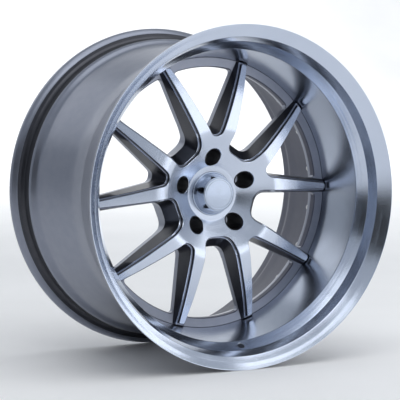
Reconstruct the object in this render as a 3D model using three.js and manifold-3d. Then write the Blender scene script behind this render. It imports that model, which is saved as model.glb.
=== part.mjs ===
// Forged racing wheel, 19 x 11 in, five-stud, in two forged pieces.
// Frame: millimetres, +Z up. The spin axis lies along Y and the styled face looks toward -Y.
// The origin is on the spin axis, at the middle of the overall width.
// Angles run clockwise from straight up as seen from the styled side, so 90 degrees is +X.
import * as THREE from 'three';
import { mergeVertices } from 'three/addons/utils/BufferGeometryUtils.js';
import Module from 'manifold-3d';

const wasm = await Module();
wasm.setup();

// ---------------------------------------------------------------- driving dimensions
const FLANGE_R = 261; // outer edge of both tyre flanges
const HALF_WIDTH = 155.5; // half of the overall width
const BEAD_R = 243.7; // bead seat of a 19 in rim, 487.4 mm across
const FLANGE_WALL_Y = 139.7; // inner wall of a flange, half of 11 in
const WALL = 4.8; // barrel wall
const REAR_OPENING_R = 249.5;
const GAP = 0.3; // clearance between pieces that touch

const FACE_STEP = [242.1, -141.5]; // inner edge of the machined flange face: radius, y
const LIP_STEP = [236.0, -124.2]; // foot of the first step
const DISH_TOP = [224.4, -107.2]; // where the deep dish starts
const DISH_FOOT_R = 212.3;
const DISH_FOOT = [DISH_FOOT_R, -25.3]; // where the dish meets the centre disc
const DROP_R = DISH_FOOT_R + WALL; // outside of the drop centre
const JOINT_Y = -15; // plane where the two forgings bolt together
const RIM_FLANGE_REAR_Y = -5.2; // back of the inward bolting flange of the rim

const CLOCKING = -2.5; // first stud hole, degrees from straight up
const PAIRS = 5;
const STEP = 360 / PAIRS;
const STUD_CIRCLE_R = 57.15;
const HUB_BORE_R = 36.55;
const NECK_R = 31; // bore that the centre cap clips into
const NECK_FRONT_Y = -36;
const NECK_REAR_Y = -28;
const HUB_LAND_Y = -40;
const CAP_SEAT_R = 34.4;
const PAD_R = 83; // hub mounting pad
const PAD_Y = 0;
const TIP_R = 209; // outer ends of the spokes
const RING_R = 212;
const RING_INNER_R = 197.5;
const RING_FRONT_Y = -26.5;
const LEDGE = 6; // depth of the machined step below the spoke face
const CUT_TOP_Y = -72; // front end of the drafted window cuts
const CUT_OUTER_R = 225; // how far the cuts over the ring reach
const CLEAR_Y = -100; // a plane in front of the disc, where cutting tools start
const CLEAR_R = 240; // a radius outside the disc
const CLEAR_INNER_R = 40; // a radius on the hub land, inside every window

// Lightening pockets in the back of the hub, between the studs.
const POCKET = { from: 47, to: 76, half: 15, depth: 15, fillet: 6 };

const LUG_WELL_R = 13.85;
const LUG_FLOOR_Y = -12;
const STUD_HOLE_R = 7.6;
const VALVE_HOLE_R = 5.65;
const VALVE_HOLE = [230, -115.7];

const BOLTS = 20;
const BOLT_CIRCLE_R = 205;
const BOLT_SHANK_R = 3.4;
const BOLT_HOLE_R = 4.1;
const BOLT_DEPTH = 8.4; // thread length in the centre disc
const BOLT_FLANGE_R = 6.2;
const BOLT_FLANGE_THICK = 1.4;
const BOLT_HEAD_R = 4.9;
const BOLT_HEAD_TALL = 6.4; // head and flange together

const TURNS = 48; // facets round the big revolved pieces
const CAP_TURNS = 28; // facets round the centre cap's pieces

// Front surface of the centre disc, hub to spoke tip: radius, y.
const FACE = [
  [43, HUB_LAND_Y], [STUD_CIRCLE_R, -47.7], [72, -55.4], [86, -62.6], [96, -67.4], [108, -67.2],
  [125, -64.2], [145, -59.8], [165, -54.6], [185, -48], [TIP_R, -38.6],
];

// Windows, each about its own centre line: where it starts, its half width there and how fast
// that grows along the line, the fillet at the hub end, and the same start at the waist.
const OPEN_WINDOW = { start: 67, half: 22.9, grow: 0.255, fillet: 15, waistStart: 84.5, waistInset: 6.5 };
const VEE_WINDOW = { start: 90.5, half: 7.6, grow: 0.519, fillet: 7.5, waistStart: 102, waistInset: 6 };
const LEDGE_INSET = 2; // width of the step round each window
const OUTER_FILLET = 9;
const ARC_POINT = 0.35; // where the outer arc has its extra point, as a share of its half angle

// ---------------------------------------------------------------- helpers
const rad = (degrees) => (degrees * Math.PI) / 180;

function lathe(profile, segments = TURNS) {
  const points = profile.map(([r, y]) => new THREE.Vector2(r, y));
  if (profile[0][0] > 0) points.push(points[0].clone());
  return new THREE.LatheGeometry(points, segments);
}

function solid(geometry) {
  const bare = geometry.clone();
  bare.deleteAttribute('normal');
  bare.deleteAttribute('uv');
  const merged = mergeVertices(bare, 1e-4);
  const vertProperties = new Float32Array(merged.attributes.position.array);
  const triVerts = new Uint32Array(merged.index.array);
  return new wasm.Manifold(new wasm.Mesh({ numProp: 3, vertProperties, triVerts }));
}

function geometryOf(manifold) {
  const { vertProperties, triVerts } = manifold.getMesh();
  const geometry = new THREE.BufferGeometry();
  geometry.setAttribute('position', new THREE.BufferAttribute(vertProperties, 3));
  geometry.setIndex(new THREE.BufferAttribute(triVerts, 1));
  geometry.computeVertexNormals();
  return geometry;
}

// A cylinder along Y from y0 to y1, its axis at the given radius and angle.
function rod(radius, y0, y1, atRadius, degrees, sides) {
  const geometry = new THREE.CylinderGeometry(radius, radius, y1 - y0, sides);
  geometry.translate(0, (y0 + y1) / 2, atRadius);
  geometry.rotateY(rad(degrees));
  return geometry;
}

function material(color, metalness, roughness) {
  return new THREE.MeshStandardMaterial({ color, metalness, roughness });
}

const wheel = new THREE.Group();

function place(name, geometry, look) {
  const mesh = new THREE.Mesh(geometry, look);
  mesh.name = name;
  wheel.add(mesh);
  return mesh;
}

// ---------------------------------------------------------------- rim forging
// Bead side of one tyre flange with its bead seat and hump, from the lip edge inward.
// side is -1 at the front and +1 at the rear.
function tyreSide(side) {
  return [
    [FLANGE_R, HALF_WIDTH - 0.9], [FLANGE_R - 0.6, HALF_WIDTH - 5.5], [FLANGE_R - 6, FLANGE_WALL_Y + 2.2],
    [BEAD_R + 4, FLANGE_WALL_Y], [BEAD_R, FLANGE_WALL_Y - 4.5], [BEAD_R - 1.3, FLANGE_WALL_Y - 19],
    [BEAD_R - 0.4, FLANGE_WALL_Y - 23],
  ].map(([r, y]) => [r, side * y]);
}

function rimProfile() {
  return [
    [FLANGE_R - 0.9, -HALF_WIDTH], ...tyreSide(-1),
    [DISH_TOP[0] + WALL + 0.8, -98], [DROP_R, DISH_FOOT[1]], [DROP_R, 8],
    [DROP_R + 6, 38], [DROP_R + 13, 75], [DROP_R + 17, 106],
    ...tyreSide(1).reverse(), [FLANGE_R - 0.9, HALF_WIDTH],
    [REAR_OPENING_R, HALF_WIDTH], [BEAD_R - WALL, 138], [BEAD_R - WALL - 2, 118],
    [DROP_R + 12, 104], [DROP_R + 8, 75], [DROP_R + 1, 38], [DISH_FOOT[0] - 0.4, 8],
    [DISH_FOOT[0] - 0.4, RIM_FLANGE_REAR_Y], [RING_INNER_R + 1.3, RIM_FLANGE_REAR_Y],
    [RING_INNER_R + GAP, RIM_FLANGE_REAR_Y - 1], [RING_INNER_R + GAP, JOINT_Y + GAP],
    [DISH_FOOT[0], JOINT_Y + GAP], DISH_FOOT, DISH_TOP, LIP_STEP, FACE_STEP,
    [(FACE_STEP[0] + FLANGE_R) / 2, FACE_STEP[1] - 6.4],
  ];
}

function valveHole() {
  const length = 46;
  const along = new THREE.Vector2(LIP_STEP[0] - DISH_TOP[0], LIP_STEP[1] - DISH_TOP[1]).normalize();
  const geometry = new THREE.CylinderGeometry(VALVE_HOLE_R, VALVE_HOLE_R, length, 12);
  const normal = new THREE.Vector3(0, along.x, -along.y);
  geometry.applyQuaternion(new THREE.Quaternion().setFromUnitVectors(new THREE.Vector3(0, 1, 0), normal));
  geometry.translate(0, VALVE_HOLE[1], VALVE_HOLE[0]);
  geometry.rotateY(rad(CLOCKING + 180));
  return geometry;
}

function rimGeometry() {
  let rim = solid(lathe(rimProfile())).subtract(solid(valveHole()));
  for (let i = 0; i < BOLTS; i += 1) {
    const hole = rod(BOLT_HOLE_R, JOINT_Y - 2, RIM_FLANGE_REAR_Y + 2, BOLT_CIRCLE_R, boltAngle(i), 8);
    rim = rim.subtract(solid(hole));
  }
  return geometryOf(rim);
}

// ---------------------------------------------------------------- centre disc forging
function discProfile() {
  return [
    [HUB_BORE_R, PAD_Y], [HUB_BORE_R, NECK_REAR_Y], [NECK_R, NECK_REAR_Y], [NECK_R, NECK_FRONT_Y],
    [CAP_SEAT_R, NECK_FRONT_Y], [CAP_SEAT_R, HUB_LAND_Y], ...FACE,
    [TIP_R, RING_FRONT_Y], [RING_R, RING_FRONT_Y], [RING_R, JOINT_Y], [112, JOINT_Y], [98, -11],
    [PAD_R, PAD_Y],
  ];
}

// Height of the styled face at a radius.
function faceY(r) {
  const i = Math.max(1, FACE.findIndex((point) => point[0] >= r));
  const [[r0, y0], [r1, y1]] = [FACE[i - 1], FACE[i]];
  return y0 + ((y1 - y0) * (r - r0)) / (r1 - r0);
}

// Everything in front of the face moved back by a depth.
function aheadOfFace(depth) {
  const floor = FACE.map(([r, y]) => [r, y + depth]).reverse();
  const inner = HUB_LAND_Y + depth;
  return solid(lathe([
    [CLEAR_INNER_R, CLEAR_Y], [CLEAR_R, CLEAR_Y], [CLEAR_R, floor[0][1]], ...floor, [CLEAR_INNER_R, inner],
  ]));
}

// Outline of a window, u across its centre line and v along it, inset on both sides and
// closed by an arc of radius outerR. All outlines of one window have the same number of points.
function windowOutline(w, start, inset, outerR, outerFillet) {
  const uAt = (v) => w.half + w.grow * (v - w.start) - inset * Math.hypot(1, w.grow);
  const along = new THREE.Vector2(w.grow, 1).normalize();
  let endV = outerR;
  for (let i = 0; i < 8; i += 1) endV = Math.sqrt(outerR ** 2 - uAt(endV) ** 2);
  const endAngle = Math.atan2(uAt(endV), endV);
  const hub = new THREE.Vector2(uAt(start), start);
  const end = new THREE.Vector2(uAt(endV), endV);
  const fillet = Math.min(w.fillet, hub.x * 0.95);
  const inward = new THREE.Vector2(-Math.cos(endAngle), Math.sin(endAngle));
  const right = [
    ...corner(hub, new THREE.Vector2(-1, 0), along, fillet, 4),
    ...corner(end, along.clone().negate(), inward, outerFillet, 2),
  ];
  const arcStart = endAngle - outerFillet / outerR;
  const onArc = arcStart * ARC_POINT;
  right.push(new THREE.Vector2(Math.sin(onArc), Math.cos(onArc)).multiplyScalar(outerR));
  const left = right.map((p) => new THREE.Vector2(-p.x, p.y)).reverse();
  return [...right, ...left];
}

// Rounded corner between two directions that leave it.
function corner(at, before, after, size, steps) {
  const from = at.clone().addScaledVector(before, size);
  const to = at.clone().addScaledVector(after, size);
  return new THREE.QuadraticBezierCurve(from, at, to).getPoints(steps);
}

// Solid between one outline at y0 and another at y1, with y1 the greater.
function loft(outline0, outline1, y0, y1) {
  const n = outline0.length;
  const position = [];
  outline0.forEach((p) => position.push(p.x, y0, p.y));
  outline1.forEach((p) => position.push(p.x, y1, p.y));
  const index = [];
  for (let i = 0; i < n; i += 1) {
    const j = (i + 1) % n;
    index.push(i, n + i, j, j, n + i, n + j);
  }
  for (const [a, b, c] of THREE.ShapeUtils.triangulateShape(outline0, [])) {
    index.push(a, b, c, n + a, n + c, n + b);
  }
  const geometry = new THREE.BufferGeometry();
  geometry.setAttribute('position', new THREE.Float32BufferAttribute(position, 3));
  geometry.setIndex(index);
  return geometry;
}

// The cuts of one window: the stepped part by the face, the drafted wall, and the opening
// through the ring.
function windowCuts(w, degrees) {
  const ledgeY = faceY(w.start) + LEDGE;
  const draft = (w.waistStart - w.start - LEDGE_INSET) / (RING_FRONT_Y - ledgeY);
  const topStart = w.waistStart - draft * (RING_FRONT_Y - CUT_TOP_Y);
  const topInset = LEDGE_INSET - 0.8;
  const face = windowOutline(w, w.start, 0, CUT_OUTER_R, 1);
  const top = windowOutline(w, topStart, topInset, CUT_OUTER_R, 1);
  const waist = windowOutline(w, w.waistStart, w.waistInset, CUT_OUTER_R, 1);
  const through = windowOutline(w, w.waistStart, w.waistInset, RING_INNER_R, OUTER_FILLET);
  return {
    step: solid(loft(face, face, CLEAR_Y + 5, RING_FRONT_Y + 6.5).rotateY(rad(degrees))),
    wall: solid(loft(top, waist, CUT_TOP_Y, RING_FRONT_Y).rotateY(rad(degrees))),
    hole: solid(loft(through, through, RING_FRONT_Y - 0.01, PAD_Y + 5).rotateY(rad(degrees))),
  };
}

// A rounded pocket between two studs, on the back of the hub.
function hubPocket(degrees) {
  const { from, to, half, depth, fillet } = POCKET;
  const left = new THREE.Vector2(-1, 0);
  const outward = new THREE.Vector2(0, 1);
  const right = [
    ...corner(new THREE.Vector2(half - 3, from), left, outward, fillet, 3),
    ...corner(new THREE.Vector2(half, to), outward.clone().negate(), left, fillet, 3),
  ];
  const outline = [...right, ...right.map((p) => new THREE.Vector2(-p.x, p.y)).reverse()];
  return solid(loft(outline, outline, PAD_Y - depth, PAD_Y + 2).rotateY(rad(degrees)));
}

function discGeometry() {
  let disc = solid(lathe(discProfile()));
  const slab = aheadOfFace(LEDGE);
  const slabForWall = aheadOfFace(LEDGE - 0.05);
  for (let pair = 0; pair < PAIRS; pair += 1) {
    const lug = CLOCKING + pair * STEP;
    for (const cuts of [windowCuts(VEE_WINDOW, lug), windowCuts(OPEN_WINDOW, lug + STEP / 2)]) {
      disc = disc.subtract(cuts.step.intersect(slab)).subtract(cuts.wall.subtract(slabForWall));
      disc = disc.subtract(cuts.hole);
    }
    disc = disc.subtract(hubPocket(lug + STEP / 2));
    disc = disc.subtract(solid(rod(LUG_WELL_R, CLEAR_Y + 10, LUG_FLOOR_Y, STUD_CIRCLE_R, lug, 18)));
    disc = disc.subtract(solid(rod(STUD_HOLE_R, LUG_FLOOR_Y - 1, PAD_Y + 2, STUD_CIRCLE_R, lug, 12)));
  }
  for (let i = 0; i < BOLTS; i += 1) {
    const thread = rod(BOLT_HOLE_R, JOINT_Y - BOLT_DEPTH, JOINT_Y + 1, BOLT_CIRCLE_R, boltAngle(i), 8);
    disc = disc.subtract(solid(thread));
  }
  return geometryOf(disc);
}

// ---------------------------------------------------------------- small hardware
function boltAngle(i) {
  return (i + 0.5) * (360 / BOLTS);
}

function boltGeometry(i) {
  const seat = RIM_FLANGE_REAR_Y + GAP;
  const end = JOINT_Y - BOLT_DEPTH + 0.5;
  const top = seat + BOLT_HEAD_TALL;
  const profile = [
    [0, end], [BOLT_SHANK_R, end], [BOLT_SHANK_R, seat], [BOLT_FLANGE_R, seat],
    [BOLT_FLANGE_R, seat + BOLT_FLANGE_THICK], [BOLT_HEAD_R, seat + BOLT_FLANGE_THICK + 0.5],
    [BOLT_HEAD_R, top], [0, top],
  ];
  return lathe(profile, 10).translate(0, 0, BOLT_CIRCLE_R).rotateY(rad(boltAngle(i)));
}

const SLEEVE_BORE_R = 12.1;
const SLEEVE_FOOT_R = 8;
const SLEEVE_BELOW_FACE = 1.2;

// Black steel sleeve with the conical nut seat at its bottom, trimmed to follow the hub face.
function lugSeatGeometry(pair) {
  const foot = LUG_FLOOR_Y - GAP;
  const outer = LUG_WELL_R - GAP - 0.1;
  const profile = [
    [SLEEVE_FOOT_R, foot], [SLEEVE_FOOT_R, foot - 2.5], [SLEEVE_BORE_R, foot - 11],
    [SLEEVE_BORE_R, CLEAR_Y + 25], [outer, CLEAR_Y + 25], [outer, foot],
  ];
  const sleeve = lathe(profile, 18).translate(0, 0, STUD_CIRCLE_R).rotateY(rad(CLOCKING + pair * STEP));
  return geometryOf(solid(sleeve).subtract(aheadOfFace(SLEEVE_BELOW_FACE)));
}

// ---------------------------------------------------------------- centre cap
const CAP_FLANGE_R = 34.1;
const CAP_BACK_Y = NECK_FRONT_Y - GAP;
const CAP_RIM_Y = -41;
const CAP_TOP_Y = -62.6;
const CAP_TOP_R = 26.2;
const PLATE_R = 25;
const CLIP_R = 30.4;
const CLIP_INNER_R = 26.9;
const CLIP_REAR_Y = -24.5;
const CLIP_LEGS = 6;
const SPRING_WIRE_R = 0.7;

// Lathe profile of the shell: hollow from behind, with a shallow seat for the front plate.
function capShellGeometry() {
  return lathe([
    [0, CAP_TOP_Y + 2.6], [CAP_TOP_R - 2, CAP_TOP_Y + 2.6], [29.6, -44], [29.6, CAP_BACK_Y],
    [CAP_FLANGE_R, CAP_BACK_Y], [CAP_FLANGE_R, CAP_RIM_Y + 0.5], [CAP_FLANGE_R - 0.5, CAP_RIM_Y],
    [CAP_FLANGE_R - 2, CAP_RIM_Y], [CAP_TOP_R + 1, CAP_TOP_Y + 1.6], [CAP_TOP_R, CAP_TOP_Y],
    [PLATE_R + GAP, CAP_TOP_Y], [PLATE_R + GAP, CAP_TOP_Y + 1], [0, CAP_TOP_Y + 1],
  ].reverse(), CAP_TURNS);
}

function capPlateGeometry() {
  const back = CAP_TOP_Y + 1 - GAP;
  return lathe([
    [0, back - 1.3], [PLATE_R - 0.6, back - 1.2], [PLATE_R, back - 0.7], [PLATE_R, back], [0, back],
  ], CAP_TURNS);
}

// Plastic ring with sprung legs that snap behind the neck of the bore.
function capClipGeometry() {
  let clip = solid(lathe([
    [CLIP_INNER_R, CLIP_REAR_Y], [CLIP_INNER_R, -43], [29.3, -43], [29.3, CAP_BACK_Y + GAP],
    [CLIP_R, CAP_BACK_Y + GAP], [CLIP_R, -27.8], [CLIP_R + 0.3, -27], [CLIP_R - 0.4, CLIP_REAR_Y],
  ], 24));
  for (let i = 0; i < CLIP_LEGS; i += 1) {
    const slot = new THREE.BoxGeometry(7, 12, 12);
    slot.translate(0, CLIP_REAR_Y - 2.5, CLIP_INNER_R + 2).rotateY(rad(i * (360 / CLIP_LEGS)));
    clip = clip.subtract(solid(slot));
  }
  return geometryOf(clip);
}

// Wire ring that spreads the legs from inside.
function springRingGeometry() {
  const ring = new THREE.TorusGeometry(CLIP_INNER_R - GAP - SPRING_WIRE_R, SPRING_WIRE_R, 5, 24);
  return ring.rotateX(Math.PI / 2).translate(0, CLIP_REAR_Y - 2.2, 0);
}

// ---------------------------------------------------------------- assembly
const rimSilver = material(0xaeb6c4, 0.9, 0.3);
const discSilver = material(0x9a9ea8, 0.85, 0.35);
const zincSteel = material(0xb4b7ba, 0.9, 0.35);
const blackSteel = material(0x121214, 0.6, 0.45);
const brightCap = material(0xc9d3e2, 0.95, 0.15);
const blackPlastic = material(0x18181a, 0, 0.6);
const springSteel = material(0x8f9398, 0.9, 0.3);

const two = (n) => String(n).padStart(2, '0');

place('rim', rimGeometry(), rimSilver);
place('centre_disc', discGeometry(), discSilver);
for (let i = 0; i < BOLTS; i += 1) place(`assembly_bolt_${two(i + 1)}`, boltGeometry(i), zincSteel);
for (let i = 0; i < PAIRS; i += 1) place(`lug_seat_${i + 1}`, lugSeatGeometry(i), blackSteel);
place('cap_shell', capShellGeometry(), brightCap);
place('cap_plate', capPlateGeometry(), brightCap);
place('cap_clip', capClipGeometry(), blackPlastic);
place('cap_spring', springRingGeometry(), springSteel);

export default wheel;
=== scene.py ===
# %% [markdown]
# # A forged racing wheel
# This lesson finishes a two-piece forged wheel: a barrel with a deep machined lip, a ten-spoke
# centre disc bolted in from behind, and a snap-in centre cap. The engineering model is loaded
# first. It fixes every size and place, and the pieces made here only add the fine surface.

# %% Load the frame and read the driving sizes
import math

import bpy
from mathutils import Matrix, Vector


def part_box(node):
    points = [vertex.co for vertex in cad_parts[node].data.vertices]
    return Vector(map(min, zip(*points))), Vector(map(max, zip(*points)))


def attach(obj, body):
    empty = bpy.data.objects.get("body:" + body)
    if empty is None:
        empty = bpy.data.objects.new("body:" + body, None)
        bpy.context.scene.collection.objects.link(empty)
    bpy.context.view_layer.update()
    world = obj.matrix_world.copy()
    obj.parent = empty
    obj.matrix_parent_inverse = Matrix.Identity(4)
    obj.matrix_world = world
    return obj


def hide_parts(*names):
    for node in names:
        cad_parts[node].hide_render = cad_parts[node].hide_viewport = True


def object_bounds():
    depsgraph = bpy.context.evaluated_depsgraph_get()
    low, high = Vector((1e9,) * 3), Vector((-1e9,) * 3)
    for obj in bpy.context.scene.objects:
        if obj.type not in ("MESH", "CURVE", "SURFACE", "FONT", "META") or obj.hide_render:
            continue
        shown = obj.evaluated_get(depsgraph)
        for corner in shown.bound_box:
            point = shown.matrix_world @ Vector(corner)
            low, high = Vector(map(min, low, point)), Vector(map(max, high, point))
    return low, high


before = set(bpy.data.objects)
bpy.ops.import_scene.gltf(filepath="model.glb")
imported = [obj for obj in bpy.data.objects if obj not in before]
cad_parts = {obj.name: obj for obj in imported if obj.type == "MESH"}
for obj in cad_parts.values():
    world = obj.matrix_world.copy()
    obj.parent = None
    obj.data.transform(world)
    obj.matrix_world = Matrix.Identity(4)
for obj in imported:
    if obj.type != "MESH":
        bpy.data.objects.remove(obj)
cad_low, cad_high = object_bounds()
MM = 0.001
FLANGE_R = round(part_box("rim")[1].x / MM, 1)
HALF_WIDTH = round(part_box("rim")[1].y / MM, 1)
RING_R = round(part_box("centre_disc")[1].x / MM, 1)
print("outer radius", FLANGE_R, "half width", HALF_WIDTH, "disc radius", RING_R)

# %% [markdown]
# ## Camera, floor and light
# A long lens from about 2.7 m keeps the wheel nearly free of perspective. The camera looks at the
# middle of the wheel from its left and a little above. The floor is a pale sheet that curves up
# behind the wheel, as paper does in a studio, so that no horizon shows.

# %% Camera
CAMERA_AZIMUTH = math.radians(-28.156)
CAMERA_ELEVATION = math.radians(3.968)
CAMERA_DISTANCE = 2.708
LENS_MM, SENSOR_MM = 153.9, 36
LENS_SHIFT = (0.0005, -0.0204)


def direction(azimuth, elevation):
    """Unit vector from the wheel to a place given by its azimuth and elevation."""
    flat = math.cos(elevation)
    return Vector((math.sin(azimuth) * flat, -math.cos(azimuth) * flat, math.sin(elevation)))


bpy.ops.object.camera_add()
camera = bpy.context.object
camera.data.lens = LENS_MM
camera.data.sensor_width = SENSOR_MM
camera.data.shift_x, camera.data.shift_y = LENS_SHIFT
toward = direction(CAMERA_AZIMUTH, CAMERA_ELEVATION)
camera.location = toward * CAMERA_DISTANCE
camera.rotation_mode = "QUATERNION"
camera.rotation_quaternion = (-toward).to_track_quat("-Z", "Y")
bpy.context.scene.camera = camera
print("camera at", [round(x, 3) for x in camera.location])


# %% Floor sweep
def deselect():
    """Nothing selected and no active object, so that an operator acts only on what comes next."""
    bpy.ops.object.select_all(action="DESELECT")
    bpy.context.view_layer.objects.active = None


def in_edit_mode(piece, work):
    """Runs some edit-mode operators on one object."""
    deselect()
    piece.select_set(True)
    bpy.context.view_layer.objects.active = piece
    bpy.ops.object.mode_set(mode="EDIT")
    work()
    bpy.ops.object.mode_set(mode="OBJECT")


FLOOR_Z = cad_low.z
FLOOR_FRONT, FLOOR_BACK, FLOOR_HALF = -16, 7, 16
SWEEP_R, SWEEP_STEPS = 3, 16
WALL_HEIGHT = 7
WELD = 1e-6
deselect()
bpy.ops.mesh.primitive_plane_add(size=1, location=(0, 0, 0))
floor = bpy.context.object
floor.name = "floor"
for corner in floor.data.vertices:
    corner.co.x = FLOOR_HALF * (1 if corner.co.x > 0 else -1)
    corner.co.y = FLOOR_BACK if corner.co.y > 0 else FLOOR_FRONT
    corner.co.z = FLOOR_Z
deselect()
bpy.context.view_layer.objects.active = floor
for edge in floor.data.edges:
    edge.select = all(floor.data.vertices[i].co.y > 0 for i in edge.vertices)
for vertex in floor.data.vertices:
    vertex.select = vertex.co.y > 0
for face in floor.data.polygons:
    face.select = False


def curve_up():
    """The back edge of the floor turned up through a quarter circle, then drawn up into a wall."""
    bend = (0, FLOOR_BACK, FLOOR_Z + SWEEP_R)
    bpy.ops.mesh.spin(steps=SWEEP_STEPS, angle=-math.pi / 2, center=bend, axis=(1, 0, 0))
    bpy.ops.mesh.extrude_region_move(TRANSFORM_OT_translate={"value": (0, 0, WALL_HEIGHT)})
    bpy.ops.mesh.select_all(action="SELECT")
    bpy.ops.mesh.remove_doubles(threshold=WELD)
    bpy.ops.mesh.normals_make_consistent(inside=False)


in_edit_mode(floor, curve_up)
bpy.ops.object.shade_smooth()
print("floor at", round(FLOOR_Z, 4), "back of the sweep", max(v.co.y for v in floor.data.vertices))

# %% World and soft boxes
WORLD_COLOUR, WORLD_STRENGTH = (0.86, 0.92, 1.0, 1), 0.5
bpy.context.scene.view_settings.view_transform = "Standard"
world = bpy.data.worlds.new("studio")
bpy.context.scene.world = world
world.use_nodes = True
background = world.node_tree.nodes["Background"]
background.inputs["Color"].default_value = WORLD_COLOUR
background.inputs["Strength"].default_value = WORLD_STRENGTH


def softbox(name, place, aim, size, radiance):
    """A rectangular area light at a place, facing a point, as bright as its radiance says."""
    light = bpy.data.lights.new(name, "AREA")
    light.shape = "RECTANGLE"
    light.size, light.size_y = size
    light.energy = radiance * math.pi * size[0] * size[1]
    lamp = bpy.data.objects.new(name, light)
    bpy.context.scene.collection.objects.link(lamp)
    lamp.location = place
    lamp.rotation_mode = "QUATERNION"
    lamp.rotation_quaternion = (Vector(aim) - Vector(place)).to_track_quat("-Z", "Y")


def round_wheel(azimuth, elevation, distance):
    """A place at a distance from the middle of the wheel, its angles in degrees."""
    return direction(math.radians(azimuth), math.radians(elevation)) * distance


CENTRE = (0, 0, 0)
softbox("front_right", round_wheel(34, 14, 3.2), CENTRE, (2.4, 2.8), 0.95)
softbox("side_right", round_wheel(96, 12, 3.0), CENTRE, (2.2, 2.6), 1.2)
softbox("overhead", round_wheel(10, 76, 2.8), CENTRE, (3.2, 2.6), 1.2)
softbox("front_left", round_wheel(-40, 50, 3.0), CENTRE, (2.6, 1.4), 0.8)
softbox("back_left", round_wheel(-150, 35, 3.6), CENTRE, (2.0, 2.0), 0.5)
softbox("backdrop", (2.5, 3.6, 4.6), (5.0, 9.6, 0.6), (6.0, 2.5), 9)

# %% [markdown]
# ## Finishes
# A lathe leaves fine rings in aluminium. They scatter light across the rings but not along
# them, which gives turned metal its bright and dark sectors. The same effect is made here by
# tilting the surface normal across the rings. The tilt is a noise that changes with the radius
# and the depth, and stays the same all the way round.

# %% Arithmetic on shader sockets
class Value:
    """An output of a shader node, used in sums like a number."""

    def __init__(self, tree, socket=None):
        self.tree = tree
        self.socket = socket

    def node(self, kind, settings=(), inputs=(), output=0):
        """Any other node: its type, its settings, then the values or links of its inputs."""
        made = self.tree.nodes.new(kind)
        for key, value in dict(settings).items():
            setattr(made, key, value)
        for key, value in dict(inputs).items():
            if isinstance(value, Value):
                self.tree.links.new(value.socket, made.inputs[key])
            else:
                made.inputs[key].default_value = value
        return Value(self.tree, made.outputs[output])

    def out(self, name):
        """Another output of the node that this value comes from."""
        return Value(self.tree, self.socket.node.outputs[name])

    def math(self, operation, *operands):
        """A Math node that works on values, numbers or both."""
        return self.node("ShaderNodeMath", {"operation": operation}, enumerate(operands))

    def __add__(self, other):
        return self.math("ADD", self, other)

    def __sub__(self, other):
        return self.math("SUBTRACT", self, other)

    def __rsub__(self, other):
        return self.math("SUBTRACT", other, self)

    def __mul__(self, other):
        return self.math("MULTIPLY", self, other)

    def __truediv__(self, other):
        return self.math("DIVIDE", self, other)

    def __rtruediv__(self, other):
        return self.math("DIVIDE", other, self)

    def root(self):
        """The square root."""
        return self.math("SQRT", self)

    __radd__ = __add__
    __rmul__ = __mul__


# %% Pattern helpers
NOISE_LOW, NOISE_HIGH = 0.35, 0.65
RINGS_PER_METRE = 900.0
Y_SHARE = 0.7


def clouds(place, scale, detail=3):
    """Soft noise in space, between about 0.3 and 0.7."""
    return place.node("ShaderNodeTexNoise", (), {"Vector": place, "Scale": scale, "Detail": detail})


def between(value, low, high):
    """Noise stretched to run from low to high."""
    limits = {"From Min": NOISE_LOW, "From Max": NOISE_HIGH, "To Min": low, "To Max": high}
    return value.node("ShaderNodeMapRange", (), {"Value": value, **limits})


def tint(factor, first, second):
    """A colour between two colours. Sockets 6 and 7 are the Mix node's colour inputs."""
    inputs = {0: factor, 6: (*first, 1), 7: (*second, 1)}
    return factor.node("ShaderNodeMix", {"data_type": "RGBA"}, inputs, 2)


def grooved(place, tilt):
    """The surface normal tilted across fine rings round the Y axis, on faces and walls alike."""
    split = place.node("ShaderNodeSeparateXYZ", (), {0: place})
    x, y, z = (split.out(axis) for axis in "XYZ")
    r = (x * x + z * z).root()
    along = place.node("ShaderNodeCombineXYZ", (), {0: z / r, 2: x / r * -1})
    wave = {"W": (r + y * Y_SHARE) * RINGS_PER_METRE, "Detail": 2}
    ring = place.node("ShaderNodeTexNoise", {"noise_dimensions": "1D"}, wave)
    normal = place.node("ShaderNodeNewGeometry", (), (), "Normal")
    across = place.node("ShaderNodeVectorMath", {"operation": "CROSS_PRODUCT"}, {0: along, 1: normal})
    scaled = {0: across, "Scale": (ring - 0.5) * tilt}
    lean = place.node("ShaderNodeVectorMath", {"operation": "SCALE"}, scaled)
    leaning = place.node("ShaderNodeVectorMath", {"operation": "ADD"}, {0: normal, 1: lean})
    return place.node("ShaderNodeVectorMath", {"operation": "NORMALIZE"}, {0: leaning})


def finish(name, fixed, varying):
    """A Principled material with fixed socket values and a function that makes the varying ones."""
    made = bpy.data.materials.new(name)
    made.use_nodes = True
    tree = made.node_tree
    shader = tree.nodes["Principled BSDF"]
    for key, value in fixed.items():
        shader.inputs[key].default_value = value
    place = Value(tree).node("ShaderNodeTexCoord", (), (), "Object")
    for key, value in varying(place).items():
        tree.links.new(value.socket, shader.inputs[key])
    return made


# %% Materials
MACHINED = {"Metallic": 1.0, "Coat Weight": 0.25, "Coat Roughness": 0.12}
PAINTED = {"Metallic": 0.8, "Coat Weight": 0.35, "Coat Roughness": 0.2}
BUMP_STRENGTH = 0.6


def turned_metal(name, tilt, dark, light, roughness):
    """Machined aluminium under a thin clear coat."""
    def varying(place):
        return {
            "Base Color": tint(between(clouds(place, 14), 0, 1), dark, light),
            "Roughness": between(clouds(place, 40), *roughness),
            "Normal": grooved(place, tilt),
        }
    return finish(name, MACHINED, varying)


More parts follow.
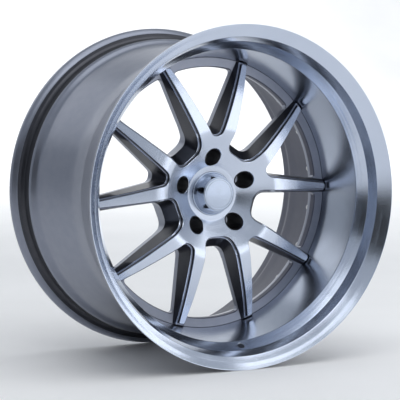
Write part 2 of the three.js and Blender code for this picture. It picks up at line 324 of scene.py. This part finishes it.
def grained(name, fixed, dark, light, roughness, grain, relief):
    """A plain finish. Its grain, so many specks to the metre, stands up by a relief in millimetres."""
    def varying(place):
        speck = clouds(place, grain, 2)
        bump = {"Height": speck, "Strength": BUMP_STRENGTH, "Distance": relief * MM}
        return {
            "Base Color": tint(between(clouds(place, grain / 20), 0, 1), dark, light),
            "Roughness": between(speck, *roughness),
            "Normal": place.node("ShaderNodeBump", (), bump),
        }
    return finish(name, fixed, varying)


lip_metal = turned_metal("lip_metal", 0.22, (0.60, 0.66, 0.78), (0.63, 0.69, 0.81), (0.16, 0.20))
dish_metal = turned_metal("dish_metal", 0.05, (0.47, 0.52, 0.62), (0.50, 0.55, 0.65), (0.22, 0.26))
face_metal = turned_metal("face_metal", 0.28, (0.62, 0.68, 0.80), (0.65, 0.71, 0.83), (0.18, 0.23))
cap_bright = turned_metal("cap_bright", 0.24, (0.42, 0.48, 0.59), (0.45, 0.51, 0.62), (0.12, 0.16))
silver_paint = grained(
    "silver_paint", PAINTED, (0.23, 0.25, 0.31), (0.245, 0.265, 0.325), (0.28, 0.34),
    grain=1400, relief=0.01)
# Dark grey for the inside of the barrel and the bore of the ring. It is painted shade: the real inside
# has the same silver paint, and it is darker here only for the shade within the barrel.
painted_shade_inside = grained(
    "painted_shade_inside", {"Metallic": 0.3}, (0.078, 0.086, 0.13), (0.085, 0.093, 0.138), (0.45, 0.52),
    grain=1400, relief=0.01)
# Near-black grey for the window walls and the bead seat grooves. It is painted shade on surfaces that
# carry the same silver paint as the rest: the walls that face away from the light, and the grooves.
painted_shade_dark = grained(
    "painted_shade_dark", PAINTED, (0.045, 0.047, 0.058), (0.052, 0.054, 0.066), (0.32, 0.38),
    grain=1400, relief=0.01)
bolt_zinc = grained(
    "bolt_zinc", {"Metallic": 0.95}, (0.42, 0.43, 0.44), (0.58, 0.58, 0.58), (0.24, 0.38),
    grain=700, relief=0.02)
black_steel = grained(
    "black_oxide", {"Metallic": 0.5}, (0.006, 0.006, 0.008), (0.016, 0.016, 0.02), (0.34, 0.5),
    grain=900, relief=0.02)
black_plastic = grained(
    "clip_plastic", {"Metallic": 0.0}, (0.012, 0.012, 0.014), (0.025, 0.025, 0.028), (0.45, 0.62),
    grain=600, relief=0.04)
spring_steel = grained(
    "spring_steel", {"Metallic": 1.0}, (0.34, 0.35, 0.36), (0.48, 0.48, 0.49), (0.22, 0.34),
    grain=900, relief=0.01)
paper = grained(
    "studio_paper", {"Metallic": 0.0}, (0.88, 0.88, 0.88), (0.92, 0.92, 0.92), (0.7, 0.85),
    grain=40, relief=0.3)
floor.data.materials.append(paper)
flag_black = grained(
    "flag_felt", {"Metallic": 0.0}, (0.015, 0.015, 0.015), (0.03, 0.03, 0.03), (0.8, 0.9),
    grain=200, relief=0.3)
print("finishes", len(bpy.data.materials))

# %% [markdown]
# Bright metal looks bright only beside something dark. A wide black flag stands to the left of
# the camera and behind it. It is hidden from the camera itself and shows only as a dark
# reflection, mostly on the right of the lip.

# %% Black flag
FLAG_AZIMUTH, FLAG_DISTANCE = math.radians(-62), 3.3
FLAG_HALF_WIDTH, FLAG_TOP_Z = 2.7, 1.4
FLAG_BOTTOM_Z = FLOOR_Z + 0.05
deselect()
bpy.ops.mesh.primitive_plane_add(size=2, location=(0, 0, 0))
flag = bpy.context.object
flag.name = "flag"
flag_middle = direction(FLAG_AZIMUTH, 0) * FLAG_DISTANCE
flag_along = Vector((math.cos(FLAG_AZIMUTH), math.sin(FLAG_AZIMUTH), 0))
for corner in flag.data.vertices:
    side, top = corner.co.x, corner.co.y > 0
    corner.co = flag_middle + flag_along * side * FLAG_HALF_WIDTH
    corner.co.z = FLAG_TOP_Z if top else FLAG_BOTTOM_Z
flag.data.materials.append(flag_black)
flag.visible_camera = False
print("flag at", [round(x, 2) for x in flag_middle])

# %% [markdown]
# ## Shaping helpers
# Nearly every surface of a wheel is turned on a lathe. The `turned` helper does the same: a ring
# of points becomes the section, and Spin carries it round the axle. Windows and holes are cut
# with plugs, each one a stack of extruded outlines, and Boolean modifiers take them away.

# %% Section helpers
def eased(points, steps=4):
    """A closed section. A point with a third number has its corner rounded by that size."""
    out = []
    count = len(points)
    for i, (r, y, *size) in enumerate(points):
        here = Vector((r, y))
        if not size:
            out.append(here)
            continue
        before = (Vector(points[i - 1][:2]) - here).normalized() * size[0]
        after = (Vector(points[(i + 1) % count][:2]) - here).normalized() * size[0]
        for k in range(steps + 1):
            t = k / steps
            out.append(here + before * (1 - t) ** 2 + after * t ** 2)
    return out


def ring_of_points(name, points, filled):
    """A circle primitive with one vertex for each point of an outline, in millimetres."""
    deselect()
    fill = "NGON" if filled else "NOTHING"
    bpy.ops.mesh.primitive_circle_add(vertices=len(points), radius=1, fill_type=fill)
    piece = bpy.context.object
    piece.name = name
    for vertex, point in zip(piece.data.vertices, points):
        vertex.co = Vector(point) * MM
    return piece


def turned(name, section, steps):
    """A closed section of (radius, y) in millimetres, spun round the Y axis."""
    piece = ring_of_points(name, [(r, y, 0) for r, y in section], filled=False)

    def spin():
        bpy.ops.mesh.select_all(action="SELECT")
        bpy.ops.mesh.spin(steps=steps, angle=2 * math.pi, center=(0, 0, 0), axis=(0, 1, 0))
        bpy.ops.mesh.select_all(action="SELECT")
        bpy.ops.mesh.remove_doubles(threshold=WELD)
        bpy.ops.mesh.normals_make_consistent(inside=False)

    in_edit_mode(piece, spin)
    return piece


# %% Plug helpers
def plug(name, loops, through=False):
    """A closed plug through a list of loops. If through, its two ends join up into a tube."""
    piece = ring_of_points(name, loops[0], filled=True)
    in_edit_mode(piece, lambda: bpy.ops.mesh.select_all(action="SELECT"))
    for last, loop in zip(loops, loops[1:]):
        in_edit_mode(piece, bpy.ops.mesh.extrude_region)
        ends = [Vector(point) * MM for point in last]
        for vertex in [v for v in piece.data.vertices if v.select]:
            nearest = min(range(len(ends)), key=lambda i: (ends[i] - vertex.co).length_squared)
            vertex.co = Vector(loop[nearest]) * MM
    if through:
        for face in piece.data.polygons:
            face.select = len(face.vertices) == len(loops[0]) > 4

    def close():
        if through:
            bpy.ops.mesh.delete(type="ONLY_FACE")
            bpy.ops.mesh.select_all(action="DESELECT")
            bpy.ops.mesh.select_non_manifold()
            bpy.ops.mesh.bridge_edge_loops()
        bpy.ops.mesh.select_all(action="SELECT")
        bpy.ops.mesh.normals_make_consistent(inside=False)

    in_edit_mode(piece, close)
    return piece


def joined(pieces, name):
    """Several meshes as one object."""
    deselect()
    for piece in pieces:
        piece.select_set(True)
    bpy.context.view_layer.objects.active = pieces[0]
    bpy.ops.object.join()
    pieces[0].name = name
    return pieces[0]


def cut(piece, cutters):
    """Takes the cutters away from the piece, and removes them."""
    cutter = joined(cutters, "cutter")
    deselect()
    piece.select_set(True)
    bpy.context.view_layer.objects.active = piece
    boolean = piece.modifiers.new("cut", "BOOLEAN")
    boolean.operation = "DIFFERENCE"
    boolean.solver = "EXACT"
    boolean.object = cutter
    bpy.ops.object.modifier_apply(modifier=boolean.name)
    bpy.data.objects.remove(cutter)


def spun_about(points, degrees):
    """Points (u, y, v) of an outline turned clockwise round the axle, seen from the styled side."""
    c, s = math.cos(math.radians(degrees)), math.sin(math.radians(degrees))
    return [(u * c + v * s, y, -u * s + v * c) for u, y, v in points]


def copy_about(piece, name, degrees):
    """A copy with its own mesh, turned round the axle in its vertices."""
    copy = piece.copy()
    copy.data = piece.data.copy()
    copy.name = name
    copy.data.transform(Matrix.Rotation(math.radians(degrees), 4, "Y"))
    bpy.context.scene.collection.objects.link(copy)
    return copy


def complete(piece, materials, node, body, degrees=30):
    """Shades a piece, adds its finish, and says what it stands for and moves with."""
    deselect()
    piece.select_set(True)
    bpy.context.view_layer.objects.active = piece
    bpy.ops.object.shade_smooth_by_angle(angle=math.radians(degrees))
    for material in materials:
        piece.data.materials.append(material)
    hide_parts(node)
    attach(piece, body)
    print(piece.name, "faces", len(piece.data.polygons), "for", node)


def paint_faces(piece, choose):
    """Gives each face the material slot that choose(r, y, face) returns, r and y in millimetres."""
    for face in piece.data.polygons:
        x, y, z = face.center / MM
        face.material_index = choose(math.hypot(x, z), y, face)


# %% [markdown]
# ## The rim
# The rim is forged, rolled out and turned to this section. At the front, the machined lip steps
# down twice into a deep dish with a slight taper. Behind, the barrel opens out from its narrow
# drop centre to the rear bead seat. A short flange points inwards to take the bolts.

# %% Rim section, spun
BEAD_SIDE = [
    (FLANGE_R, HALF_WIDTH, 1.4), (260.7, 149, 3), (254.6, 141.2, 4), (247.9, 139.7, 1), (243.7, 136, 3),
    (242.4, 120.9, 2), (243.3, 117.4, 1), (241.2, 112.6, 2),
]
DISH_TOP, DISH_FOOT = (224.4, -107.2), (212.3, -25.3)
LIP = [(236, -124.2), (242.1, -141.5), (251.6, -147.9)]
DROP_R = 217.1
OUTSIDE = [
    (230.4, -98, 6), (DROP_R, -25.3, 8), (DROP_R, 8, 8),
    (223.1, 38, 9), (230.1, 75, 9), (234.1, 104, 5),
]
INSIDE = [
    (249.5, HALF_WIDTH, 1.5), (239.5, 140, 5), (237, 118, 5),
    (229.1, 104, 6), (225.1, 75, 9), (218, 38, 9), (211.9, 8, 5),
]
BOLT_FLANGE = [(211.9, -5.2, 1), (198.4, -5.2, 0.8), (197.8, -14.7, 0.4), (212.3, -14.7, 0.3)]
FRONT = [(*DISH_FOOT, 0.8), (*DISH_TOP, 0.9), (*LIP[0], 0.9), (*LIP[1], 0.7), (*LIP[2], 2)]
RIM_STEPS = 224
front_bead = [(r, -y, size) for r, y, size in BEAD_SIDE]
rim_section = eased(front_bead + OUTSIDE + BEAD_SIDE[::-1] + INSIDE + BOLT_FLANGE + FRONT)
rim = turned("wheel_rim", rim_section, RIM_STEPS)
print("rim section points", len(rim_section), "faces", len(rim.data.polygons))

# %% Valve hole
# The hole is drilled square to the sloping band between the lip and the dish. Its edge is
# countersunk, which catches the light. CLOCKING is how far the wheel stands turned, in degrees.
ROUND = [2 * math.pi * k / 32 for k in range(32)]
CLOCKING = -2.5
VALVE_R = 5.65
VALVE_AT = (230, -115.7)
VALVE_AXIS = Vector((17, 11.6)).normalized()
COUNTERSINK_R = 7.2


def valve_loop(depth, radius):
    """A circle square to the drilling, at a depth below the band."""
    axis_r, axis_y = VALVE_AXIS
    loop = []
    for a in ROUND:
        u, across = radius * math.cos(a), radius * math.sin(a)
        y = VALVE_AT[1] + axis_y * depth - axis_r * across
        v = VALVE_AT[0] + axis_r * depth + axis_y * across
        loop.append((u, y, v))
    return spun_about(loop, CLOCKING + 180)


drill = plug("drill", [
    valve_loop(-9, 8), valve_loop(-1, COUNTERSINK_R), valve_loop(0.7, VALVE_R), valve_loop(16, VALVE_R),
])
cut(rim, [drill])

LIP_FRONT_Y, LIP_INNER_R = -141, 241
DISH_BACK_Y, DISH_BACK_R = -15.5, 211
BEAD_GROOVE_Y, FLANGE_ROOT_Y, FLANGE_ROOT_R = 119.4, 142.5, 252


def on_lip(r, y, face):
    """0 lip, 1 dish, 2 outside of the barrel, 3 its inside and 4 the grooves that the tyre covers, both
    darker as painted shade.
    """
    x, _, z = face.normal
    inwards = x * face.center.x + z * face.center.z < 0
    if y < LIP_FRONT_Y and face.normal.y < -0.3 and r > LIP_INNER_R:
        return 0
    if y < DISH_BACK_Y and inwards and r > DISH_BACK_R:
        return 0 if y < DISH_TOP[1] else 1
    if inwards and r > DISH_FOOT[0] - 1 and y < HALF_WIDTH - 2:
        return 3
    return 4 if BEAD_GROOVE_Y < abs(y) < FLANGE_ROOT_Y and r < FLANGE_ROOT_R else 2


# Slots 3 and 4 are darker paints that stand in for the shade inside the barrel and in the bead seat
# grooves.
for material in (lip_metal, dish_metal, silver_paint, painted_shade_inside, painted_shade_dark):
    rim.data.materials.append(material)
paint_faces(rim, on_lip)
complete(rim, [], "rim", "wheel", 32)

# %% [markdown]
# ## The centre disc
# The disc is forged as a thick dome. It is turned to the section below, and the windows between
# the spokes are then milled out. Each window is milled twice. A first cut follows the domed face
# at a constant depth and leaves a narrow ledge. A deeper, drafted cut goes on from the ledge.

# %% Turned blank
FACE = [
    (43, -40), (57.15, -47.7), (72, -55.4), (86, -62.6), (96, -67.4), (108, -67.2),
    (125, -64.2), (145, -59.8), (165, -54.6), (185, -48), (209, -38.6),
]
TIP_R = FACE[-1][0]
RING_FRONT_Y = -26.5
RING_INNER_R = 197.5
SOFTENING = (-5, -2.5, 0, 2.5, 5)


def straight_face(r):
    """Height of the face by straight lines between the points of FACE, level beyond its ends."""
    if r <= FACE[0][0]:
        return FACE[0][1]
    for (r0, y0), (r1, y1) in zip(FACE, FACE[1:]):
        if r <= r1:
            return y0 + (y1 - y0) * (r - r0) / (r1 - r0)
    return FACE[-1][1]


def face_y(r):
    """Height of the face, with the bends between its lines softened by a running mean."""
    near_end = min(abs(r - FACE[0][0]), abs(r - TIP_R)) / SOFTENING[-1]
    reach = min(1, near_end)
    return sum(straight_face(r + d * reach) for d in SOFTENING) / len(SOFTENING)


HUB_BORE = [
    (36.55, 0, 1.2), (36.55, -28), (31, -28, 0.5), (31, -36, 0.5), (34.4, -36), (34.4, -40, 0.4),
]
FACE_STEP = 3
SPOKE_FEET = [(208.4, face_y(208.4)), (TIP_R, face_y(TIP_R) + 0.6), (TIP_R, -32.9)]
RING_EDGE = [(211.3, -32.3), (211.3, -27.5), (RING_R, -27.5), (RING_R, -15)]
BACK = [(112, -15, 3), (98, -11, 3), (83, -0.8), (82, 0)]
DISC_STEPS = 240
hub_land = [(*FACE[0], 0.6)]
face_line = [(r, face_y(r)) for r in range(46, 208, FACE_STEP)]
disc_section = eased(HUB_BORE + hub_land + face_line + SPOKE_FEET + RING_EDGE + BACK)
disc = turned("wheel_disc", disc_section, DISC_STEPS)
print("blank faces", len(disc.data.polygons))


# %% Window outlines
# MILL_PARTS and ARC_PARTS are the shares of a window's half angle at which its outer arc has points.
def window(half, grow, start, fillet, tip_degrees):
    """The numbers of one kind of window: half width at its start, and how fast it grows."""
    return {"half": half, "grow": grow, "start": start, "fillet": fillet, "tip": tip_degrees}


VEE = window(7.6, 0.519, 90.5, 7.5, 18.7)
OPEN = window(22.9, 0.255, 67, 15, 17.1)
WAIST = {"vee": (102, 6.0), "open": (84.5, 6.5)}
TIP_CLEAR_R = TIP_R + 0.3
TIP_FILLET, OUTER_FILLET = 3.4, 9
MILL_R = 232
SIDE_STEPS = 16
HUB_BEND_STEPS, TIP_BEND_STEPS, OUTER_BEND_STEPS = 7, 6, 7
SEARCH_STEPS = 12
MILL_PARTS = (1, 0.6, 0.2)
ARC_PARTS = (0.8, 0.6, 0.4, 0.2, 0.07)


def bend(start, corner, end, steps):
    """A rounded corner as a quadratic curve."""
    start, corner, end = Vector(start), Vector(corner), Vector(end)
    curve = []
    for k in range(steps + 1):
        t = k / steps
        curve.append(start * (1 - t) ** 2 + corner * 2 * t * (1 - t) + end * t ** 2)
    return curve


def half_outline(w, start, inset, outer_r, outer_fillet):
    """One side of a window from its hub end to its outer corner, as (u, v) points."""
    def u_at(v):
        """Half width at a height v, drawn in by the inset square to the side."""
        return w["half"] + w["grow"] * (v - w["start"]) - inset * math.hypot(1, w["grow"])
    along = Vector((w["grow"], 1)).normalized()
    hub = Vector((u_at(start), start))
    fillet = min(w["fillet"], hub.x * 0.95)
    end_v = outer_r
    for _ in range(SEARCH_STEPS):
        end_v = math.sqrt(outer_r ** 2 - u_at(end_v) ** 2)
    end = Vector((u_at(end_v), end_v))
    hub_bend = bend(hub - Vector((fillet, 0)), hub, hub + along * fillet, HUB_BEND_STEPS)
    last = end - along * outer_fillet
    side = [hub_bend[-1].lerp(last, k / SIDE_STEPS) for k in range(1, SIDE_STEPS)]
    return hub_bend + side, last, end


def polar(r, degrees):
    """A point (u, v) at a radius and an angle from the v axis."""
    return Vector((r * math.sin(math.radians(degrees)), r * math.cos(math.radians(degrees))))


def mirrored(right):
    """The right side of an outline, then its mirror image back to the start."""
    return right + [Vector((-p.x, p.y)) for p in reversed(right)]


def over_ring(w, start, inset):
    """Outline that passes in front of the ring and rounds the tips of the spokes beside it."""
    tip_r = TIP_CLEAR_R + inset
    right, last, end = half_outline(w, start, inset, tip_r, TIP_FILLET)
    end_degrees = math.degrees(math.atan2(end.x, end.y))
    after = polar(tip_r, end_degrees + math.degrees(TIP_FILLET / tip_r))
    right += bend(last, end, after, TIP_BEND_STEPS)
    right.append(polar(tip_r, w["tip"]))
    right += [polar(MILL_R, w["tip"] * part) for part in MILL_PARTS]
    return mirrored(right)


def through_ring(w, start, inset, outer_r):
    """Outline that stops at the ring with rounded outer corners."""
    right, last, end = half_outline(w, start, inset, outer_r, OUTER_FILLET)
    end_degrees = math.degrees(math.atan2(end.x, end.y))
    turn = end_degrees - math.degrees(OUTER_FILLET / outer_r)
    right += bend(last, end, polar(outer_r, turn), OUTER_BEND_STEPS)
    right += [polar(outer_r, turn * part) for part in ARC_PARTS]
    return mirrored(right)


# %% Milling cuts
# Each step of the cut that follows the face is a depth below the face and an inset, and each
# step of the cut behind it is a height, a radius and an inset past that of the waist.
STEP_CUT = [(-3, -3), (0.6, 0), (5.5, 0.7), (6, 1.1), (6.4, 2.3), (7.2, 2.9)]
BACK_CUT = [(-27.6, 199.7, 0), (-25.2, 197.3, 0), (-14, 197.5, -0.3), (4, 197.5, -1.5)]
ABOVE_FACE_Y = -100
BACK_INSET = 0.15


def below_face(outline, depth):
    """An outline laid on the face and sunk by a depth."""
    return [(p.x, face_y(min(p.length, TIP_R)) + depth, p.y) for p in outline]


def level(outline, y):
    """An outline laid flat at a height y."""
    return [(p.x, y, p.y) for p in outline]


def stepped_plug(w, waist):
    """The cut that follows the face, with its chamfer, its ledge and the drafted wall below."""
    waist_start, waist_inset = waist
    first_inset = STEP_CUT[0][1]
    loops = [level(over_ring(w, w["start"] + first_inset, first_inset), ABOVE_FACE_Y)]
    for depth, inset in STEP_CUT:
        loops.append(below_face(over_ring(w, w["start"] + inset, inset), depth))
    loops.append(level(over_ring(w, waist_start, waist_inset), RING_FRONT_Y))
    return plug("stepped", loops)


def ring_plug(w, waist):
    """The cut through the back of the disc, chamfered where it meets the front of the ring."""
    waist_start, waist_inset = waist
    return plug("ring_cut", [
        level(through_ring(w, waist_start, waist_inset + BACK_INSET + extra, outer_r), y)
        for y, outer_r, extra in BACK_CUT
    ])


PAIRS = 5
STEP_DEGREES = 360 / PAIRS
lug_angles = [CLOCKING + STEP_DEGREES * k for k in range(PAIRS)]
open_angles = [angle + STEP_DEGREES / 2 for angle in lug_angles]
for w, waist, angles in ((VEE, WAIST["vee"], lug_angles), (OPEN, WAIST["open"], open_angles)):
    for first in (stepped_plug(w, waist), ring_plug(w, waist)):
        cut(disc, [copy_about(first, "mill", angle) for angle in angles])
        bpy.data.objects.remove(first)
    print("disc faces after one kind of window", len(disc.data.polygons))

# %% Stud wells, stud holes and hub pockets
STUD_CIRCLE_R = 57.15
WELL_R, WELL_MOUTH_R, WELL_FLOOR_Y = 13.85, 14.6, -12
STUD_HOLE_R, STUD_MOUTH_R = 7.6, 8.6
POCKET_FROM, POCKET_TO, POCKET_HALF, POCKET_FILLET = 47, 76, 15, 7


def round_loop(radius, depth=None, y=None):
    """A circle about the first stud, level at y or sunk below the face by a depth."""
    circle = [Vector((radius * math.cos(a), STUD_CIRCLE_R + radius * math.sin(a))) for a in ROUND]
    return level(circle, y) if depth is None else below_face(circle, depth)


well = plug("well", [
    round_loop(WELL_MOUTH_R, y=-90), round_loop(WELL_MOUTH_R, depth=-0.2),
    round_loop(WELL_R, depth=0.5), round_loop(WELL_R, y=WELL_FLOOR_Y),
])
hole = plug("hole", [
    round_loop(STUD_HOLE_R, y=-14), round_loop(STUD_HOLE_R, y=-0.8),
    round_loop(STUD_MOUTH_R, y=0.2), round_loop(STUD_MOUTH_R, y=3),
])


def pocket_loop(inset, y):
    """A rounded box between two studs, on the back of the hub, 3 mm narrower a side at its inner end."""
    half, low, high = POCKET_HALF - inset, POCKET_FROM + inset, POCKET_TO - inset
    f = POCKET_FILLET
    right = bend((half - 3 - f, low), (half - 3, low), (half - 2.3, low + f), 6)
    right += bend((half - 0.5, high - f), (half, high), (half - f, high), 6)
    return level(mirrored(right), y)


POCKET_CUT = [(3, -15), (1.2, -14.2), (0.4, -0.6), (-0.4, 0.3), (-0.4, 2)]
pocket = plug("pocket", [pocket_loop(inset, y) for inset, y in POCKET_CUT])
for first, angles in ((well, lug_angles), (hole, lug_angles), (pocket, open_angles)):
    cut(disc, [copy_about(first, "drill", angle) for angle in angles])
    bpy.data.objects.remove(first)

CHAMFER = 0.75
LEDGE_TOP, LEDGE_EDGE, LEDGE_BOTTOM = 5.6, 6.5, 7.2


def on_disc(r, y, face):
    """0 turned face, 1 window walls in painted shade, 2 stud wells, 3 silver rest, 4 bore of the ring in
    painted shade, 5 hub land.
    """
    x, z = face.center.x / MM, face.center.z / MM
    from_stud = min(math.dist((x, z), polar(STUD_CIRCLE_R, a)) for a in lug_angles)
    if from_stud < WELL_R + 0.2 and y < WELL_FLOOR_Y + 1 and y > face_y(r) + 0.6:
        return 2
    if r < TIP_R and y < face_y(max(r, FACE[0][0])) + CHAMFER:
        return 5 if r < FACE[0][0] else 0
    depth = y - face_y(min(r, TIP_R))
    if r < TIP_R + 3 and y < RING_FRONT_Y - 3 and LEDGE_TOP < depth < LEDGE_BOTTOM:
        return 0 if depth > LEDGE_EDGE else 3
    if y > RING_FRONT_Y and RING_INNER_R - 1 < r < RING_INNER_R + 1:
        return 4
    return 1 if y < RING_FRONT_Y - 0.5 and r > FACE[0][0] else 3


# Slots 1 and 4 are darker paints that stand in for the shade on the window walls and in the bore of the
# ring.
for material in (face_metal, painted_shade_dark, black_steel, silver_paint, painted_shade_inside, dish_metal):
    disc.data.materials.append(material)
paint_faces(disc, on_disc)
complete(disc, [], "centre_disc", "wheel", 26)
print("disc faces", len(disc.data.polygons))

# %% [markdown]
# ## Bolts and nut seats
# Twenty bolts with twelve-point heads join the two forgings from behind, out of sight from the
# front. Each stud well has a black steel sleeve with a conical seat for the wheel nut, so that
# the nut does not gall the aluminium.

# %% Twelve-point bolts
BOLTS = 20
BOLT_CIRCLE_R = 205
BOLT_SEAT_Y = -4.9
BOLT_SIDES = 24


def bolt_loop(y, outer, inner=None):
    """Twenty-four points on a circle, or on a twelve-pointed star when inner is given."""
    loop = []
    for k in range(BOLT_SIDES):
        radius = outer if inner is None or k % 2 else inner
        a = 2 * math.pi * k / BOLT_SIDES
        loop.append((radius * math.cos(a), BOLT_SEAT_Y + y, BOLT_CIRCLE_R + radius * math.sin(a)))
    return loop


bolt = plug("bolt", [
    bolt_loop(-18, 2.9), bolt_loop(-17.4, 3.4), bolt_loop(0, 3.4), bolt_loop(0, 6.1),
    bolt_loop(1, 6.2), bolt_loop(1.6, 5.8), bolt_loop(1.9, 5.1, 4.5), bolt_loop(5.9, 4.9, 4.3),
    bolt_loop(6.4, 4.3, 3.8), bolt_loop(6.4, 2.7), bolt_loop(5, 2.3),
])
for i in range(BOLTS):
    number = f"{i + 1:02d}"
    one = copy_about(bolt, "bolt_" + number, (i + 0.5) * 360 / BOLTS)
    complete(one, [bolt_zinc], "assembly_bolt_" + number, "wheel")
bpy.data.objects.remove(bolt)

# %% Nut seats
SLEEVE_R, SLEEVE_BORE_R, CONE_BORE_R = 13.45, 12.1, 8
SLEEVE_FOOT_Y = -12.3
seat = plug("seat", [
    round_loop(SLEEVE_R, y=SLEEVE_FOOT_Y), round_loop(SLEEVE_R, depth=1.5),
    round_loop(SLEEVE_R - 0.3, depth=1.2), round_loop(SLEEVE_BORE_R + 0.4, depth=1.2),
    round_loop(SLEEVE_BORE_R, depth=1.7), round_loop(SLEEVE_BORE_R, y=-23.3),
    round_loop(CONE_BORE_R, y=-14.8), round_loop(CONE_BORE_R, y=SLEEVE_FOOT_Y),
], through=True)
for k, angle in enumerate(lug_angles):
    one = copy_about(seat, f"nut_seat_{k + 1}", angle)
    complete(one, [black_steel], f"lug_seat_{k + 1}", "wheel")
bpy.data.objects.remove(seat)

# %% [markdown]
# ## The centre cap
# The cap is a turned cone with a plain plate on the front. A black plastic ring with six sprung
# legs grips the bore behind it, and a wire ring inside spreads the legs.

# %% Cap shell and plate
CAP_STEPS = 128
cap_section = eased([
    (0, -60), (24.2, -60), (29.6, -44), (29.6, -36.3), (34.1, -36.3), (34.1, -41, 0.6),
    (32.9, -41.1, 0.2), (32.6, -40.7, 0.2), (32.1, -41.2, 0.2), (27.4, -59.6, 1.2),
    (26.6, -62.6, 0.7), (25.3, -62.6, 0.3), (25.3, -61.6), (0, -61.6),
])
cap = turned("cap_body", cap_section, CAP_STEPS)
complete(cap, [cap_bright], "cap_shell", "cap")
plate_section = eased([
    (0, -63.1), (21.5, -63.1, 0.3), (21.8, -62.9, 0.1), (22.3, -62.9, 0.1),
    (22.6, -63.1, 0.3), (25, -63, 0.5), (25, -61.9), (0, -61.9),
])
plate = turned("cap_front", plate_section, CAP_STEPS)
complete(plate, [cap_bright], "cap_plate", "cap")

# %% Clip ring and spring
CLIP_STEPS = 96
SLOTS = 6
SLOT_HALF, SLOT_TOP_Y, SLOT_END_Y = 3.5, -33, -20
SLOT_FROM_R, SLOT_TO_R = 24, 34
WIRE_RING_R, WIRE_R, WIRE_Y = 25.9, 0.7, -26.7
clip_section = eased([
    (26.9, -24.5, 0.4), (26.9, -43, 0.3), (29.3, -43, 0.3), (29.3, -36.1, 0.2),
    (30.4, -36.1, 0.3), (30.4, -27.8, 0.2), (30.7, -27, 0.3), (30, -24.5, 0.5),
])
clip = turned("cap_legs", clip_section, CLIP_STEPS)
slot_corners = [
    (-SLOT_HALF, SLOT_FROM_R), (SLOT_HALF, SLOT_FROM_R), (SLOT_HALF, SLOT_TO_R), (-SLOT_HALF, SLOT_TO_R),
]
slot = plug("slot", [[(u, y, v) for u, v in slot_corners] for y in (SLOT_TOP_Y, SLOT_END_Y)])
cut(clip, [copy_about(slot, "slot_cut", k * 360 / SLOTS) for k in range(SLOTS)])
bpy.data.objects.remove(slot)
complete(clip, [black_plastic], "cap_clip", "cap")
deselect()
bpy.ops.mesh.primitive_torus_add(
    major_segments=CLIP_STEPS, minor_segments=12, major_radius=WIRE_RING_R * MM, minor_radius=WIRE_R * MM)
wire = bpy.context.object
wire.name = "cap_wire"
wire.data.transform(Matrix.Translation((0, WIRE_Y * MM, 0)) @ Matrix.Rotation(math.pi / 2, 4, "X"))
complete(wire, [spring_steel], "cap_spring", "cap", 60)
